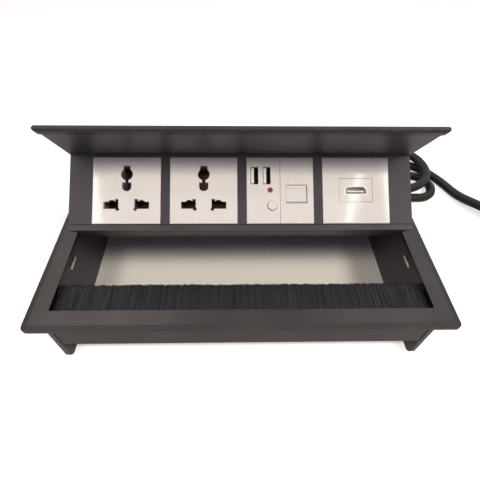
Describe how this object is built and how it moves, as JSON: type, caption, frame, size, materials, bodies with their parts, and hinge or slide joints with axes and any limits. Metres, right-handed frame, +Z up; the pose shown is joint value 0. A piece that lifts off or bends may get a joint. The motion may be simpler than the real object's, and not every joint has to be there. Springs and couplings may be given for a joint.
{
  "type": "desktop socket hub",
  "caption": "Flip-up table socket box: a hinged lid carries universal, charging, data and video outlets over a brush-edged cable opening.",
  "frame": {"origin": "on the floor below the middle of the bezel, between the feet", "axes": "+X to the viewer's right along the bezel, +Y towards the hinge and the cord, +Z up"},
  "size_m": [0.4253, 0.2647, 0.1368],
  "materials": {
    "anodised_frame": "satin dark grey anodised",
    "anodised_unit": "satin dark grey anodised",
    "white_face": "glossy moulded",
    "grey_base": "moulded",
    "white_tongue": "moulded",
    "black_tongue": "moulded",
    "brass_contact": "stamped",
    "bright_steel": "bright plated",
    "black_screw": "black oxide",
    "nylon": "moulded nylon",
    "brush_channel": "folded strip",
    "bristle": "nylon bristle",
    "circuit_board": "solder mask",
    "red_lens": "tinted lens",
    "black_plastic": "moulded",
    "cord_sheath": "extruded sheath",
    "wire_insulation": "extruded"
  },
  "bodies": {
    "frame": {"bezel_screws": "black_screw", "brush_bristles": "bristle", "brush_carrier": "brush_channel", "clip_rivets": "bright_steel", "cord_coil": "cord_sheath", "cord_gland": "black_plastic", "cord_lead": "cord_sheath", "cord_link": "cord_sheath", "cord_loops": "cord_sheath", "cord_tail": "cord_sheath", "friction_washers": "nylon", "front_skirt": "anodised_frame", "gland_nut": "black_plastic", "inner_lead": "cord_sheath", "left_end_plate": "anodised_frame", "left_spring_clip": "bright_steel", "pivot_pins": "bright_steel", "plug_body": "black_plastic", "plug_pins": "brass_contact", "rear_skirt": "anodised_frame", "right_end_plate": "anodised_frame", "right_spring_clip": "bright_steel", "skirt_screws": "black_screw", "stop_pins": "bright_steel", "top_bezel": "anodised_frame"},
    "flip_unit": {"lid": "anodised_unit", "lid_front_trim": "anodised_unit", "face_plate": "anodised_unit", "lower_rail": "anodised_unit", "rear_cover": "anodised_unit", "left_cheek": "anodised_unit", "right_cheek": "anodised_unit", "cheek_screws": "black_screw", "pivot_bushes": "nylon", "socket1_face": "white_face", "socket1_base": "grey_base", "socket1_contacts": "brass_contact", "socket2_face": "white_face", "socket2_base": "grey_base", "socket2_contacts": "brass_contact", "usb_face": "white_face", "usb_base": "grey_base", "usb_board": "circuit_board", "usb_port_shells": "bright_steel", "usb_port_tongues": "white_tongue", "usb_led": "red_lens", "data_face": "white_face", "data_jack": "grey_base", "jack_contacts": "brass_contact", "hdmi_face": "white_face", "hdmi_insert": "white_face", "hdmi_shell": "bright_steel", "hdmi_tongue": "black_tongue", "hdmi_coupler": "grey_base", "terminal_block": "grey_base", "terminal_screws": "bright_steel", "bus_wires": "wire_insulation", "lead_grommet": "cord_sheath"},
    "button": {"usb_button": "white_face"},
    "shutter": {"data_shutter": "white_face"}
  },
  "joints": [
    {"name": "unit_flip", "type": "hinge", "parent": "frame", "child": "flip_unit", "pos_m": [0, 0.0601, 0.0484], "axis": [1, 0, 0], "range_deg": [0, 53.6], "deforming": ["inner_lead"]},
    {"name": "button_push", "type": "slide", "parent": "flip_unit", "child": "button", "axis": [0, 0.5934, -0.8049], "range_m": [0, 0.001], "stiffness_N_per_m": 1200, "springref_m": -0.0003},
    {"name": "shutter_slide", "type": "slide", "parent": "flip_unit", "child": "shutter", "axis": [0, -0.8049, -0.5934], "range_m": [0, 0.0094], "stiffness_N_per_m": 40, "springref_m": -0.005}
  ]
}
